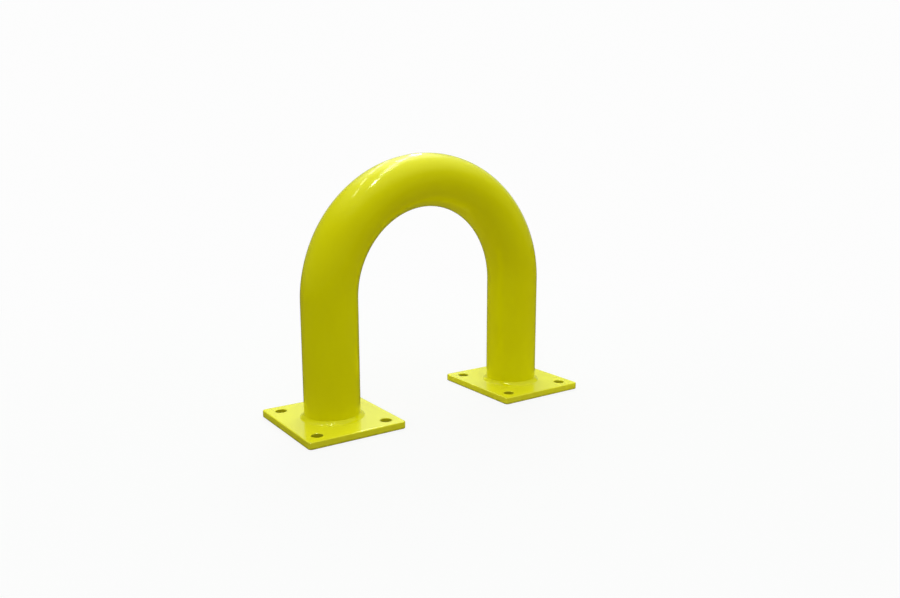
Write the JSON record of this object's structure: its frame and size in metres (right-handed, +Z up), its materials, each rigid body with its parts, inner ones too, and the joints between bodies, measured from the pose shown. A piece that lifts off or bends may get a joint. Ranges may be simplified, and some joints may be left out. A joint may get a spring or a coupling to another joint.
{
  "type": "steel safety bollard",
  "caption": "Low hoop-shaped safety bollard of bent round steel tube, welded to drilled floor plates, that keeps vehicles off corners, racks and machines.",
  "frame": {"origin": "on the ground, midway between the two legs, at the bottom centre of the whole part", "axes": "+X along the hoop from the left leg to the right leg, +Y across the hoop, +Z up"},
  "size_m": [0.45, 0.155, 0.36],
  "materials": {
    "hoop_coating": "glossy yellow powder coat",
    "plate_coating": "glossy yellow powder coat on flat bar",
    "weld_coating": "glossy yellow powder coat over a fillet weld"
  },
  "bodies": {
    "root": {"hoop_tube": "hoop_coating", "left_base_plate": "plate_coating", "right_base_plate": "plate_coating", "left_foot_weld": "weld_coating", "right_foot_weld": "weld_coating"}
  },
  "joints": []
}
